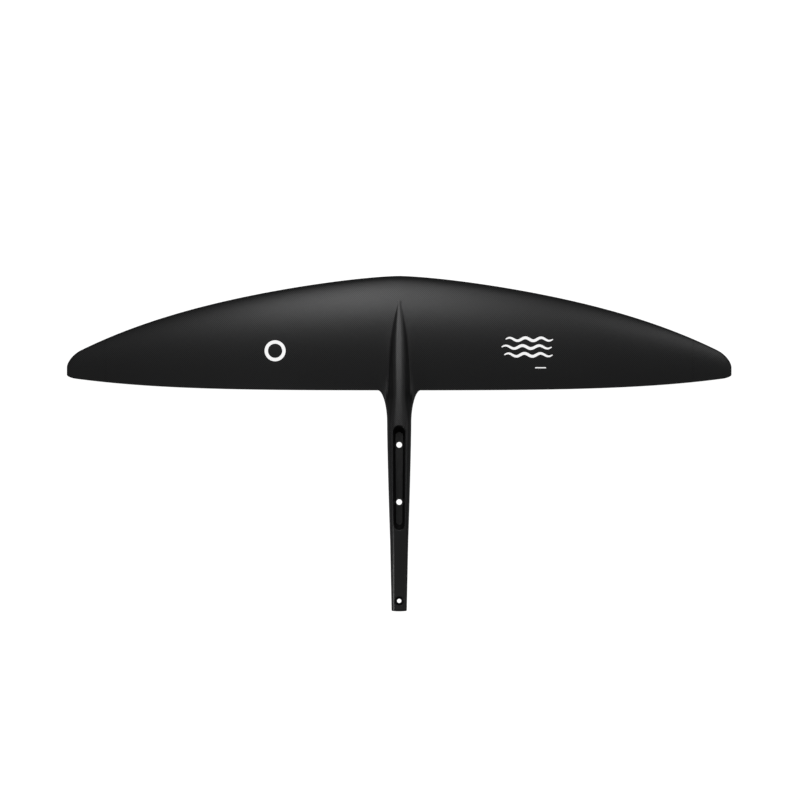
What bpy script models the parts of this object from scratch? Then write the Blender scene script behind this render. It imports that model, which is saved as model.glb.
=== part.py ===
"""A hydrofoil front wing with its fuselage moulded on, as the pieces that it is laid up from.

Metres, +Z up. The origin lies on the floor of the mast socket, midway between its two screw holes.
+Y is forward, towards the leading edge, and +X is the wing's right-hand side.

Most pieces are lofts on one lattice. Its wing part is measured in x and in f, the share of the chord
from the leading edge (0) to the outline's rear edge (1). Its fuselage part is measured in q, the share
of the half width from -1 to 1, and in y. Each piece is a patch of that lattice between two offsets of
the outer surface, so that every shell, core and strip follows its neighbours.
"""

import math

import bmesh
import bpy
import numpy as np

# Planform
SPAN = 0.982
HALF_SPAN = SPAN / 2
NOSE_Y = 0.2915
ROOT_TRAILING_Y = 0.1226
SHOULDER_Y = 0.0765  # where the fillet behind the trailing edge has become the fuselage's side
SHOULDER_HALF = 0.0179
FLARE_HALF = 0.0313  # where that fillet leaves the trailing edge
FLARE_POWER = 1.85
WAIST_Y = -0.100
WAIST_HALF = 0.0134
TAIL_Y = -0.2035
TAIL_HALF = 0.01125
TAIL_ROUND_Y = -0.2012  # where the roof starts to round over into the end
TAIL_BOW = 0.0008
TAIL_CORNER = 0.0009

# Wing section
ROOT_THICKNESS = 0.125  # as a share of the chord
TIP_THICKNESS = 0.095
CAMBER = 0.028
EDGE_HALF = 0.0005  # half the thickness of the leading and trailing edges
WING_Z = 0.006
TIP_DROOP = 0.028
DROOP_POWER = 2.2
TIP_LEADING_ROUND = 0.015
TIP_TRAILING_ROUND = 0.004

# Fuselage, and the spine and keel that carry it into the wing
ROOF_Z = 0.0320
TAIL_ROOF_Z = 0.0155
KEEL_Z = -0.012
SEAT_Z = -0.005  # underside of the tail, where the stabiliser sits
BOX_POWER = 3.2
BOX_FLATNESS = 1.05
BELL_ROUND = 4
BELL_POWER = 2.5
SPREAD_POWER = 2.5
SPINE = {"start": 0.2560, "level": 0.070, "spread": 0.0176, "step": (-0.020, -0.205)}
KEEL = {"start": 0.2400, "level": 0.150, "spread": 0.0240, "step": (-0.088, -0.135)}

# Laminate, structure and the bond gap between pieces
GAP = 0.0003
F_GAP = 0.004  # the same gap along the chord, as a share of it
SKIN = 0.0012
CAP = 0.0010
UNDER_SKIN = SKIN + GAP
UNDER_CAP = UNDER_SKIN + CAP + GAP
SEAM_X = 0.4413  # joint between the shells and the wing tips
SOCKET_REAR_Y = -0.0925
TAIL_BLOCK_Y = -0.165

# Mast socket and screws. FLOOR_Z is the origin's height. The rim's outline is the one at ROOF_Z.
# Each outline is two round ends, given as (y of the end, radius).
SOCKET_FLOOR = ((0.0620, 0.0060), (-0.0757, 0.0050))
SOCKET_RIM = ((0.0707, 0.0094), (-0.0847, 0.0087))
FLOOR_Z = 0.0
SOCKET_BASE_Z = -0.0030
MAST_SCREW_Y = 0.0422
MAST_HOLE_R = 0.0042
SLEEVE_R = 0.0052
SLEEVE_TOP_Z = -0.0010
CUP_R = 0.0084
CUP_HEAD_R = 0.0078
CUP_BOTTOM_Z = KEEL_Z + 0.0003
CUP_TOP_Z = CUP_BOTTOM_Z + 0.0055
TAIL_SCREW_Y = -0.1880
TAIL_HOLE_R = 0.0032
BUSH_R = 0.0070
BUSH_HEAD_R = 0.0064
BUSH_STEM_R = 0.0046
BUSH_TOP_Z = TAIL_ROOF_Z - 0.0004
BUSH_HEAD_Z = BUSH_TOP_Z - 0.0048

# Lattice stations
SHELL_ROWS = (0, 0.01, 0.04, 0.09, 0.16, 0.24, 0.33, 0.43, 0.54, 0.65, 0.76, 0.86, 0.93, 1)
BOX_COLUMNS = (0, 0.30, 0.547, 0.76, 0.90, 0.975, 1)
FLARE_COLUMNS = (1.25, 1.5, 1.75, 2)
PANEL_COLUMNS = (2.04, 2.12, 2.23, 2.35, 2.47, 2.59, 2.70, 2.80)
TIP_COLUMNS = (2.923, 2.95, 2.969, 2.983, 2.991, 2.9974, 3)
FUSELAGE_ROWS = (0.052, 0.026, 0, -0.026, -0.052, -0.074, SOCKET_REAR_Y,
                 -0.107, -0.121, -0.135, -0.150, TAIL_BLOCK_Y, -0.183, TAIL_ROUND_Y,
                 *(TAIL_ROUND_Y + (TAIL_Y - TAIL_ROUND_Y) * t for t in (0.5, 0.85, 1)))

# Chord shares where the inner pieces start and end
NOSE_STRIP = (0.04, 0.09)
WEB = (0.32, 0.34)
CAPS = (0.24, 0.43)
CORE_END = 0.76
TAIL_STRIP_END = 0.86
STRIP_TIP = 2.70  # outboard ends, on the scale of across()
TAIL_STRIP_TIP = 2.59
CORE_TIP = 2.80
TONGUE_COLUMNS = (2.86, 2.88, 2.91)

MATERIALS = {
    "carbon_twill": ((0.012, 0.012, 0.013), 0.42, 0.0),
    "carbon_moulding": ((0.010, 0.010, 0.011), 0.50, 0.0),
    "unidirectional_carbon": ((0.020, 0.020, 0.022), 0.35, 0.0),
    "glass_laminate": ((0.16, 0.20, 0.10), 0.45, 0.0),
    "foam_core": ((0.62, 0.55, 0.36), 0.90, 0.0),
    "stainless_steel": ((0.55, 0.55, 0.56), 0.28, 1.0),
    "black_anodised": ((0.015, 0.015, 0.016), 0.40, 0.8),
}


def smooth(value):
    """0 below 0, 1 above 1 and an S curve between."""
    t = min(max(value, 0.0), 1.0)
    return t * t * (3 - 2 * t)


# ---- Outline ----


def corner(share, start):
    """A quarter ellipse that leaves 0 at start and stands upright at a share of 1, where it is 1."""
    s = min(max((share - start) / (1 - start), 0.0), 1.0)
    return 1 - math.sqrt(1 - s * s)


def leading_edge(x):
    u = abs(x) / HALF_SPAN
    sweep = 0.1021 * u**1.5 - 0.0232 * u**2.5 + 0.0413 * u**4
    return NOSE_Y - sweep - TIP_LEADING_ROUND * corner(u, 0.957)


def trailing_edge(x):
    u = abs(x) / HALF_SPAN
    return ROOT_TRAILING_Y + 0.0027 * u**2 + 0.0163 * u**4 + TIP_TRAILING_ROUND * corner(u, 0.972)


def rear_edge(x):
    """The trailing edge, with the fillet that carries it into the fuselage's side."""
    if abs(x) >= FLARE_HALF:
        return trailing_edge(x)
    inner = 1 - max(abs(x) - SHOULDER_HALF, 0) / (FLARE_HALF - SHOULDER_HALF)
    share = (1 - inner**FLARE_POWER) ** (1 / FLARE_POWER)
    return SHOULDER_Y + (ROOT_TRAILING_Y - SHOULDER_Y) * share


def half_width(y):
    """Half the width of the fuselage, or of the fillet ahead of it."""
    if y < WAIST_Y:
        return WAIST_HALF + (TAIL_HALF - WAIST_HALF) * (WAIST_Y - y) / (WAIST_Y - TAIL_Y)
    if y < SHOULDER_Y:
        share = (SHOULDER_Y - y) / (SHOULDER_Y - WAIST_Y)
        return SHOULDER_HALF - (SHOULDER_HALF - WAIST_HALF) * share**1.35
    share = min((y - SHOULDER_Y) / (ROOT_TRAILING_Y - SHOULDER_Y), 1)
    inner = (1 - share**FLARE_POWER) ** (1 / FLARE_POWER)
    return FLARE_HALF - (FLARE_HALF - SHOULDER_HALF) * inner


def across(c, f):
    """x of a column at a chord share. c is 0 on the centreline, 1 at the shoulder, 2 where the fillet
    ends and 3 at the wing tip. The centre columns close up towards the spine's narrow nose."""
    size = abs(c)
    core = SHOULDER_HALF * (0.2 + 0.8 * f)
    if size <= 1:
        x = size * core
    elif size <= 2:
        x = core + (FLARE_HALF - core) * (1 - math.cos(math.radians(90 * (size - 1))) ** (2 / FLARE_POWER))
    else:
        x = FLARE_HALF + (HALF_SPAN - FLARE_HALF) * (size - 2)
    return math.copysign(x, c)


# ---- Outer surface ----


def boxiness(y):
    """0 over the wing, 1 along the fuselage."""
    return smooth((ROOT_TRAILING_Y - y) / (ROOT_TRAILING_Y - SHOULDER_Y))


def section(x, f):
    """(y, height of the mid surface, half thickness) of the bare wing."""
    u = abs(x) / HALF_SPAN
    chord = leading_edge(x) - trailing_edge(x)
    stretch = (leading_edge(x) - rear_edge(x)) / chord
    y = leading_edge(x) - chord * (f + (stretch - 1) * f**4)
    out = max(abs(x) - FLARE_HALF, 0) / (HALF_SPAN - FLARE_HALF)
    middle = WING_Z - TIP_DROOP * out**DROOP_POWER + 4 * CAMBER * chord * f * (1 - f)
    share = ROOT_THICKNESS + (TIP_THICKNESS - ROOT_THICKNESS) * u * u
    shape = 0.2969 * math.sqrt(f) - 0.1260 * f - 0.3516 * f**2 + 0.2843 * f**3 - 0.1036 * f**4
    closing = 1 - corner(u, 0.985)
    edge = EDGE_HALF + (GAP / 2 - EDGE_HALF) * boxiness(y)
    return y, middle, math.hypot(5 * share * chord * shape * closing, edge)


def centre_heights(side):
    """The bare wing's centreline as two lists, rising y and height."""
    points = []
    for f in np.linspace(1, 0, 201):
        y, middle, half = section(0, f)
        points.append((y, middle + side * half))
    return np.array(points).T


CENTRE = {side: centre_heights(side) for side in (1, -1)}


def bare_centre(y, side):
    return float(np.interp(y, *CENTRE[side]))


def spine_line(y, side):
    """Height of the spine and roof (side 1), or of the keel (side -1), along the centreline."""
    line = SPINE if side > 0 else KEEL
    level_z = ROOF_Z if side > 0 else KEEL_Z
    tail_z = TAIL_ROOF_Z if side > 0 else SEAT_Z
    if y > line["level"]:
        share = (y - line["level"]) / (line["start"] - line["level"])
        return level_z + (bare_centre(line["start"], side) - level_z) * share**2
    first, last = line["step"]
    return level_z + (tail_z - level_z) * smooth((first - y) / (first - last))


def crown(q, y):
    """Height across the spine: 1 at the centre, 0 from q = 1. A bell over the wing, and aft of it a
    rounded box whose roof becomes flat along the socket."""
    q = min(abs(q), 1.0)
    bell = (1 - q**BELL_ROUND) ** BELL_POWER
    flatness = 1 + (BOX_FLATNESS - 1) * smooth((SHOULDER_Y - y) / SHOULDER_Y)
    box = min(1.0, flatness * (1 - q**BOX_POWER) ** (1 / BOX_POWER))
    return bell + (box - bell) * boxiness(y)


def spread(y, side):
    """Half the width of the spine or keel: nothing at its nose, the fuselage's own at the shoulder."""
    line = SPINE if side > 0 else KEEL
    share = min((line["start"] - y) / (line["start"] - ROOT_TRAILING_Y), 1)
    narrow = line["spread"] * (1 - (1 - share) ** SPREAD_POWER)
    return narrow + (half_width(y) - narrow) * boxiness(y)


def spine_rise(x, y, side):
    """How far the spine or keel stands out of the bare wing."""
    line = SPINE if side > 0 else KEEL
    if y >= line["start"]:
        return 0.0
    rise = max(side * (spine_line(y, side) - bare_centre(y, side)), 0)
    return rise * crown(x / spread(y, side), y)


def wing_point(x, f, side, inset=0.0):
    """A point of the upper (side 1) or lower (side -1) surface, or of a layer that far inside it."""
    y, middle, half = section(x, f)
    square = boxiness(y)
    depth = inset * (1 + (crown(x / half_width(y), y) - 1) * square)
    height = max(half + spine_rise(x, y, side) - depth, GAP / 2)
    return x * (1 - square * inset / half_width(y)), y, middle + side * height


def fuselage_point(q, y, side, inset=0.0):
    """The same for the fuselage, with q from -1 to 1 across it. The layers close in at its rear end."""
    end = max(0.0, (TAIL_ROUND_Y - y) / (TAIL_ROUND_Y - TAIL_Y))
    forward = TAIL_CORNER * corner(abs(q), 0.88) + TAIL_BOW * q * q + inset
    height = side * (spine_line(y, side) - WING_Z) - inset - GAP / 2
    z = WING_Z + side * (GAP / 2 + height * crown(q, y) * math.sqrt(1 - min(end, 1.0) ** 2))
    return q * (half_width(y) - inset), y + forward * end, z


# ---- Making objects ----


def collection(name):
    made = bpy.data.collections.new(name)
    bpy.context.scene.collection.children.link(made)
    return made


def material(name):
    if name in bpy.data.materials:
        return bpy.data.materials[name]
    colour, roughness, metallic = MATERIALS[name]
    made = bpy.data.materials.new(name)
    made.use_nodes = True
    shader = made.node_tree.nodes["Principled BSDF"]
    shader.inputs["Base Color"].default_value = (*colour, 1)
    shader.inputs["Roughness"].default_value = roughness
    shader.inputs["Metallic"].default_value = metallic
    return made


def add(name, mesh, finish=None):
    """Links a mesh as a part with its finish or, with none, as a cutter."""
    made = bpy.data.objects.new(name, mesh)
    if finish:
        bpy.data.collections["hydrofoil_front_wing"].objects.link(made)
        mesh.materials.append(material(finish))
        mesh.shade_smooth()
        mesh.set_sharp_from_angle(angle=math.radians(35))
    else:
        bpy.data.collections["cutters"].objects.link(made)
        made.hide_render = True
        made.display_type = "WIRE"
    return made


def mesh_of(name, build):
    """A mesh filled by build(bm)."""
    bm = bmesh.new()
    build(bm)
    bmesh.ops.recalc_face_normals(bm, faces=bm.faces)
    mesh = bpy.data.meshes.new(name)
    bm.to_mesh(mesh)
    bm.free()
    return mesh


def slab(name, patches, finish=None):
    """A closed solid between two sheets. Each patch is a pair of grids, top and bottom, with the same
    rows and columns of points. Patches are joined where their top sheets share points. Every cell is
    split the same way, so that pieces on the same stations nest facet by facet."""

    def build(bm):
        posts = {}
        rim = {}

        def post(high, low):
            key = tuple(round(v, 6) for v in high)
            if key not in posts:
                posts[key] = (bm.verts.new(high), bm.verts.new(low))
            return posts[key]

        for top, bottom in patches:
            grid = [[post(*pair) for pair in zip(*rows)] for rows in zip(top, bottom)]
            for fore, aft in zip(grid, grid[1:]):
                for cell in zip(fore, fore[1:], aft[1:], aft):
                    left = cell[0][0].co.x + cell[1][0].co.x < 0
                    a, b, c, d = cell[1:] + cell[:1] if left else cell
                    for triangle in ((a, b, c), (a, c, d)):
                        bm.faces.new([high for high, low in triangle])
                        bm.faces.new([low for high, low in reversed(triangle)])
                    for edge in zip(cell, cell[1:] + cell[:1]):
                        key = frozenset(edge)
                        if rim.pop(key, None) is None:
                            rim[key] = edge
        for (high_a, low_a), (high_b, low_b) in rim.values():
            bm.faces.new((high_b, high_a, low_a, low_b))

    return add(name, mesh_of(name, build), finish)


def cut(target, *cutters):
    for cutter in cutters:
        modifier = target.modifiers.new(cutter.name, "BOOLEAN")
        modifier.operation = "DIFFERENCE"
        modifier.object = cutter


def turned(name, profile, y, finish, steps=32):
    """A ring turned about a vertical axis at (0, y) from a closed profile of (radius, z) points."""
    mesh = bpy.data.meshes.new(name)
    edges = [(i, (i + 1) % len(profile)) for i in range(len(profile))]
    mesh.from_pydata([(r, 0, z) for r, z in profile], edges, [])
    made = add(name, mesh, finish)
    made.location = (0, y, 0)
    screw = made.modifiers.new("turn", "SCREW")
    screw.steps = steps
    screw.render_steps = steps
    screw.use_merge_vertices = True
    screw.merge_threshold = 0.00001
    return made


def drill(name, radius, y, bottom, top):
    """A vertical cylinder to cut with."""

    def build(bm):
        bmesh.ops.create_cone(
            bm, cap_ends=True, segments=32, radius1=radius, radius2=radius, depth=top - bottom
        )

    made = add(name, mesh_of(name, build))
    made.location = (0, y, (bottom + top) / 2)
    return made


# ---- Lattice helpers ----


def both_ways(columns):
    """Columns of the right-hand half, mirrored to run across the whole."""
    return [-c for c in columns[:0:-1]] + list(columns)


def between(stations, low, high):
    """The stations inside a range, with the range's own ends."""
    return [low] + [s for s in stations if low + 1e-6 < s < high - 1e-6] + [high]


def seam_column(offset):
    return 2 + (SEAM_X + offset - FLARE_HALF) / (HALF_SPAN - FLARE_HALF)


HALF_COLUMNS = BOX_COLUMNS + FLARE_COLUMNS + PANEL_COLUMNS


def wing_sheet(columns, rows, side, inset):
    depth = inset if callable(inset) else lambda f: inset
    return [[wing_point(across(c, f), f, side, depth(f)) for c in sorted(columns)] for f in rows]


def fuselage_sheet(columns, rows, side, inset):
    return [[fuselage_point(q, y, side, inset) for q in columns] for y in rows]


def wing_piece(name, columns, rows, finish, inset=UNDER_SKIN):
    """A solid that fills the wing between two layers as deep under the upper and lower surface."""
    sheets = [wing_sheet(columns, rows, side, inset) for side in (1, -1)]
    return slab(name, [sheets], finish)


def fuselage_piece(name, rows, finish):
    columns = both_ways(BOX_COLUMNS)
    sheets = [fuselage_sheet(columns, rows, side, UNDER_SKIN) for side in (1, -1)]
    return slab(name, [sheets], finish)


# ---- Pieces ----


def shell(name, side):
    """One half of the laminate: wing, fillets and fuselage in one piece."""
    columns = both_ways(HALF_COLUMNS + (seam_column(-GAP / 2),))
    box = both_ways(BOX_COLUMNS)
    rows = (SHOULDER_Y, *FUSELAGE_ROWS)
    wing = [wing_sheet(columns, SHELL_ROWS, side, inset) for inset in (0, SKIN)]
    body = [fuselage_sheet(box, rows, side, inset) for inset in (0, SKIN)]
    return slab(name, [wing, body], "carbon_twill")


def tip(name, hand):
    """The solid end of the wing, with a tongue that plugs into the shells."""
    columns = [hand * c for c in (seam_column(GAP / 2), *TIP_COLUMNS)]
    made = wing_piece(name, columns, SHELL_ROWS, "carbon_twill", inset=0)
    tongue = [hand * c for c in TONGUE_COLUMNS]
    rows = between(SHELL_ROWS, 0.24, 0.54)
    plug = slab(name + "_tongue", [[wing_sheet(tongue, rows, side, UNDER_SKIN) for side in (1, -1)]])
    join = made.modifiers.new("tongue", "BOOLEAN")
    join.operation = "UNION"
    join.object = plug
    return made


def spar_cap(name, side):
    """A strip of unidirectional carbon under one skin, from tip to tip."""
    columns = both_ways(HALF_COLUMNS)
    rows = between(SHELL_ROWS, *CAPS)
    sheets = [wing_sheet(columns, rows, side, inset) for inset in (UNDER_SKIN, UNDER_SKIN + CAP)]
    return slab(name, [sheets], "unidirectional_carbon")


def core_depth(f):
    """Depth of a foam core's surface, which is rebated under the spar caps."""
    return UNDER_CAP if CAPS[0] - 1.5 * F_GAP < f < CAPS[1] + 1.5 * F_GAP else UNDER_SKIN


def wing_interior(hand, side_name):
    """The strips and foam cores of one wing half."""
    right = HALF_COLUMNS
    strip = [hand * c for c in between(right, 0.05, STRIP_TIP)]
    wing_piece("leading_edge_strip_" + side_name, strip, NOSE_STRIP, "unidirectional_carbon")
    rows = between(SHELL_ROWS, NOSE_STRIP[1] + F_GAP, CAPS[0] - 2 * F_GAP)
    rows += [CAPS[0] - F_GAP, WEB[0] - F_GAP]
    nose = [hand * c for c in between(right, 0.05, CORE_TIP)]
    wing_piece("nose_core_" + side_name, nose, rows, "foam_core", core_depth)
    rows = [WEB[1] + F_GAP, CAPS[1] + F_GAP]
    rows += between(SHELL_ROWS, CAPS[1] + 2 * F_GAP, CORE_END)
    main_core = [hand * c for c in between(right, 1, CORE_TIP)]
    wing_piece("main_core_" + side_name, main_core, rows, "foam_core", core_depth)
    rows = between(SHELL_ROWS, CORE_END + F_GAP, TAIL_STRIP_END)
    strip = [hand * c for c in between(right, 2, TAIL_STRIP_TIP)]
    wing_piece("trailing_edge_strip_" + side_name, strip, rows, "unidirectional_carbon")


def centre_core():
    """Foam between the shear web and the mast socket."""
    rows = [WEB[1] + F_GAP, CAPS[1] + F_GAP]
    rows += between(SHELL_ROWS, CAPS[1] + 2 * F_GAP, 1)
    columns = both_ways(BOX_COLUMNS[:5])
    return wing_piece("centre_core", columns, rows, "foam_core", core_depth)


def slot(ends, z, steps=14):
    """The outline of a slot along Y with round ends, front then rear, each (y of the end, radius)."""
    points = []
    for (y, radius), hand in zip(ends, (1, -1)):
        for step in range(steps + 1):
            angle = math.pi * step / steps
            x = hand * radius * math.cos(angle)
            points.append((x, y + hand * radius * (math.sin(angle) - 1), z))
    return points


def pocket():
    """The tapered space for the foot of the mast, from the socket's floor to well above its rim."""
    above = 1.3
    high = np.array(SOCKET_FLOOR) + (np.array(SOCKET_RIM) - SOCKET_FLOOR) * above

    def build(bm):
        low_ring = [bm.verts.new(p) for p in slot(SOCKET_FLOOR, FLOOR_Z)]
        high_ring = [bm.verts.new(p) for p in slot(high, FLOOR_Z + (ROOF_Z - FLOOR_Z) * above)]
        bm.faces.new(low_ring)
        bm.faces.new(high_ring)
        for i, low in enumerate(low_ring):
            bm.faces.new((low, low_ring[i - 1], high_ring[i - 1], high_ring[i]))

    return add("socket_space", mesh_of("socket_space", build))


def socket_pieces():
    """The socket that takes the mast's foot, and the block under its floor."""
    rows = [SHOULDER_Y - GAP] + [y for y in FUSELAGE_ROWS if y > SOCKET_REAR_Y] + [SOCKET_REAR_Y]
    columns = both_ways(BOX_COLUMNS)
    top = fuselage_sheet(columns, rows, 1, UNDER_SKIN)
    bottom = fuselage_sheet(columns, rows, -1, UNDER_SKIN)
    base = [[(x, y, max(z, SOCKET_BASE_Z)) for x, y, z in row] for row in bottom]
    socket = slab("mast_socket", [(top, base)], "carbon_moulding")
    inner = slice(2, -2)
    under = [[(x, y, SOCKET_BASE_Z - GAP) for x, y, z in row[inner]] for row in bottom]
    block = slab("mast_block", [(under, [row[inner] for row in bottom])], "glass_laminate")
    return socket, block


def mast_screw_fittings(end, y):
    """A countersunk cup in the belly and the sleeve above it, for one mast screw."""
    cup = (
        (CUP_R, CUP_TOP_Z),
        (CUP_R, CUP_BOTTOM_Z),
        (CUP_HEAD_R, CUP_BOTTOM_Z),
        (MAST_HOLE_R, CUP_TOP_Z - 0.0012),
        (MAST_HOLE_R, CUP_TOP_Z),
    )
    turned("mast_cup_" + end, cup, y, "stainless_steel")
    low = CUP_TOP_Z + GAP
    sleeve = ((SLEEVE_R, SLEEVE_TOP_Z), (SLEEVE_R, low), (MAST_HOLE_R, low), (MAST_HOLE_R, SLEEVE_TOP_Z))
    turned("mast_sleeve_" + end, sleeve, y, "stainless_steel")


def tail_bush():
    """The countersunk bush for the stabiliser's screw."""
    low = SEAT_Z + 0.0003
    profile = (
        (BUSH_R, BUSH_TOP_Z),
        (BUSH_R, BUSH_HEAD_Z),
        (BUSH_STEM_R, BUSH_HEAD_Z),
        (BUSH_STEM_R, low),
        (TAIL_HOLE_R, low),
        (TAIL_HOLE_R, BUSH_HEAD_Z + 0.0008),
        (BUSH_HEAD_R, BUSH_TOP_Z - 0.0004),
        (BUSH_HEAD_R, BUSH_TOP_Z),
    )
    return turned("stabiliser_bush", profile, TAIL_SCREW_Y, "black_anodised")


def main():
    for old in list(bpy.data.objects):
        bpy.data.objects.remove(old)
    collection("hydrofoil_front_wing")
    collection("cutters")

    upper = shell("upper_shell", 1)
    lower = shell("lower_shell", -1)
    tip("tip_left", -1)
    tip("tip_right", 1)
    for hand, side_name in ((-1, "left"), (1, "right")):
        wing_interior(hand, side_name)
    spar_cap("spar_cap_upper", 1)
    spar_cap("spar_cap_lower", -1)
    wing_piece("shear_web", both_ways(HALF_COLUMNS), WEB, "glass_laminate", UNDER_CAP)
    centre_core()
    body_rows = FUSELAGE_ROWS[::-1]
    core_rows = between(body_rows, TAIL_BLOCK_Y, SOCKET_REAR_Y - GAP)
    fuselage_piece("fuselage_core", core_rows, "foam_core")
    block_rows = between(body_rows, TAIL_Y, TAIL_BLOCK_Y - GAP)
    tail = fuselage_piece("tail_block", block_rows, "carbon_moulding")
    socket, block = socket_pieces()

    space = pocket()
    cut(upper, space)
    cut(socket, space)
    for end, y in (("front", MAST_SCREW_Y), ("rear", -MAST_SCREW_Y)):
        mast_screw_fittings(end, y)
        sleeve_space = drill("sleeve_space_" + end, SLEEVE_R + GAP, y, KEEL_Z, SLEEVE_TOP_Z + GAP)
        cut(socket, drill("screw_hole_" + end, MAST_HOLE_R, y, KEEL_Z, 0.001), sleeve_space)
        cup_space = drill("cup_space_" + end, CUP_R + GAP, y, 2 * KEEL_Z, CUP_TOP_Z + GAP)
        cut(block, sleeve_space, cup_space)
        cut(lower, cup_space)
    tail_bush()
    head_space = drill("bush_head_space", BUSH_R + GAP, TAIL_SCREW_Y, BUSH_HEAD_Z - GAP, 2 * TAIL_ROOF_Z)
    stem_space = drill("bush_stem_space", BUSH_STEM_R + GAP, TAIL_SCREW_Y, 3 * SEAT_Z, TAIL_ROOF_Z)
    cut(upper, head_space)
    cut(tail, head_space, stem_space)
    cut(lower, stem_space)


main()
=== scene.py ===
"""Looks for the hydrofoil front wing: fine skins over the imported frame, finishes, light and camera.

Metres, +Z up, +Y forward. The origin lies on the floor of the mast socket, midway between its screws.
The skins follow the surface of the frame's shells on a finer lattice, and meet under the flares.
"""

import math

import bmesh
import bpy
import numpy as np
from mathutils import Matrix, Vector

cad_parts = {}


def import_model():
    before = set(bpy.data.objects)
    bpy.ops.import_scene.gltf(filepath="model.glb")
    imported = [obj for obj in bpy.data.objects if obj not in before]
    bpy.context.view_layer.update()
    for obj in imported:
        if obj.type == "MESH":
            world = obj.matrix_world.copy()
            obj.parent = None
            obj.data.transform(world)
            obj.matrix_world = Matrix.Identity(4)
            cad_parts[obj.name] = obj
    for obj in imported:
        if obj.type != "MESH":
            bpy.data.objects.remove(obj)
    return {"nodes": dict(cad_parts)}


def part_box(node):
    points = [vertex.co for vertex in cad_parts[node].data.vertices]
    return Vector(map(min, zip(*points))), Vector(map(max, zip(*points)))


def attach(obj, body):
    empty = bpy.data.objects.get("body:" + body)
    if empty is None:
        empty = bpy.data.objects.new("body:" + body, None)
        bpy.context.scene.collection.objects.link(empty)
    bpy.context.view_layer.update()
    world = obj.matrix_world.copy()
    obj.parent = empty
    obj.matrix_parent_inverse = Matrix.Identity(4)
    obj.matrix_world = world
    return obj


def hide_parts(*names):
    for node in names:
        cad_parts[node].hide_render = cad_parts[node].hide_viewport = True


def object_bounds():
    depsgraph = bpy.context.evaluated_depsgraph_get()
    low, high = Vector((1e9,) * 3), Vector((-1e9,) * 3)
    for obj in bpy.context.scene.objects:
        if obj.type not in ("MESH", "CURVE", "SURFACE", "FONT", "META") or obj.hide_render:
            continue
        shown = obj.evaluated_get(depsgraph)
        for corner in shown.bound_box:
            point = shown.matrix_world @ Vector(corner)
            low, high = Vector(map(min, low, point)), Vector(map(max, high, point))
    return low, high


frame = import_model()
CAD_LOW, CAD_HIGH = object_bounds()

# Sizes that the frame gives
HALF_SPAN = CAD_HIGH.x
NOSE_Y = CAD_HIGH.y
ROOF_Z = CAD_HIGH.z
TAIL_Y = CAD_LOW.y
SEAM_X = (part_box("upper_shell")[1].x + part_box("tip_right")[0].x) / 2
CUP_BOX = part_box("mast_cup_front")
BUSH_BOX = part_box("stabiliser_bush")
MAST_SCREW_Y = (CUP_BOX[0].y + CUP_BOX[1].y) / 2
TAIL_SCREW_Y = (BUSH_BOX[0].y + BUSH_BOX[1].y) / 2
CUP_R = CUP_BOX[1].x
BUSH_R = BUSH_BOX[1].x

# Planform
ROOT_TRAILING_Y = 0.1226
SHOULDER_Y = 0.0765
SHOULDER_HALF = 0.0179
FLARE_HALF = 0.0313
FLARE_POWER = 1.85
WAIST_Y = -0.100
WAIST_HALF = 0.0134
TAIL_HALF = 0.01125
TAIL_ROUND_Y = -0.2012
TAIL_BOW = 0.0008
TAIL_CORNER = 0.0009

# Section, spine and keel
ROOT_THICKNESS = 0.125
TIP_THICKNESS = 0.095
CAMBER = 0.028
EDGE_HALF = 0.0005
WING_Z = 0.006
TIP_DROOP = 0.028
DROOP_POWER = 2.2
TIP_LEADING_ROUND = 0.015
TIP_TRAILING_ROUND = 0.004
TAIL_ROOF_Z = 0.0155
KEEL_Z = -0.012
SEAT_Z = -0.005
BOX_POWER = 3.2
BOX_FLATNESS = 1.05
BELL_ROUND = 4
BELL_POWER = 2.5
SPREAD_POWER = 2.5
SPINE = {"start": 0.2560, "level": 0.070, "spread": 0.0176, "step": (-0.020, -0.205)}
KEEL = {"start": 0.2400, "level": 0.150, "spread": 0.0240, "step": (-0.088, -0.135)}

# Skins and joints
SKIN = 0.0012
PARTING = 0.00004
SEAM_GAP = 0.0003
TONGUE_DEPTH = 0.00125
TONGUE_REACH = 0.004

# Mast socket
SOCKET_FLOOR = ((0.0620, 0.0060), (-0.0757, 0.0050))
SOCKET_RIM = ((0.0707, 0.0094), (-0.0847, 0.0087))
SOCKET_BASE_Z = -0.0030
MAST_HOLE_R = 0.0042
TAIL_HOLE_R = 0.0032
RIM_ROUND = 0.0008
FLOOR_FILLET = 0.0006
END_FILLET = 0.0012

LINER_WALL = 0.0016
LINER_GAP = 0.00008
BORE_SOFT = 0.0002
BORE_STEPS = 48
HOLD = 0.0001

# Holes in the skins. A patch is the stretch of fuselage round a hole, from its front to its rear row.
SOCKET_PATCH_REAR = -0.0915
BUSH_PATCH = (-0.1785, -0.1978)
BUSH_CLEARANCE = 0.00005
CUP_CLEARANCE = 0.0001
STEM_HOLE_R = 0.00475
HOLE_MARGIN = 0.004
HOLE_ROUND = 0.0003
EDGE_RINGS = 5
HOLE_RINGS = 12
PATCH_STEPS = 16
ROW_STEP = 0.0035

# Nose of the spine
NOSE_HALF = 0.0036
NOSE_LENGTH = 0.0012
NOSE_STEP = 0.0002
NOSE_FADE_Y = 0.246

# Printed marks
INK_RISE = 0.00005
INK_DEPTH = 0.00015
RING_CENTRE = (-0.183, 0.181)
RING_RADII = (0.0155, 0.0105)
WAVE_X = (0.151, 0.225)
WAVE_TOP_Y = 0.198
WAVE_PITCH = 0.0115
WAVE_SHIFTS = (0.006, 0.0, 0.004)
WAVE_HEIGHT = 0.0022
WAVE_TURNS = 3
WAVE_THICKNESS = 0.0042
BAR_X = (0.2005, 0.2165)
BAR_Y = (0.1552, 0.1560, 0.1568)

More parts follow.
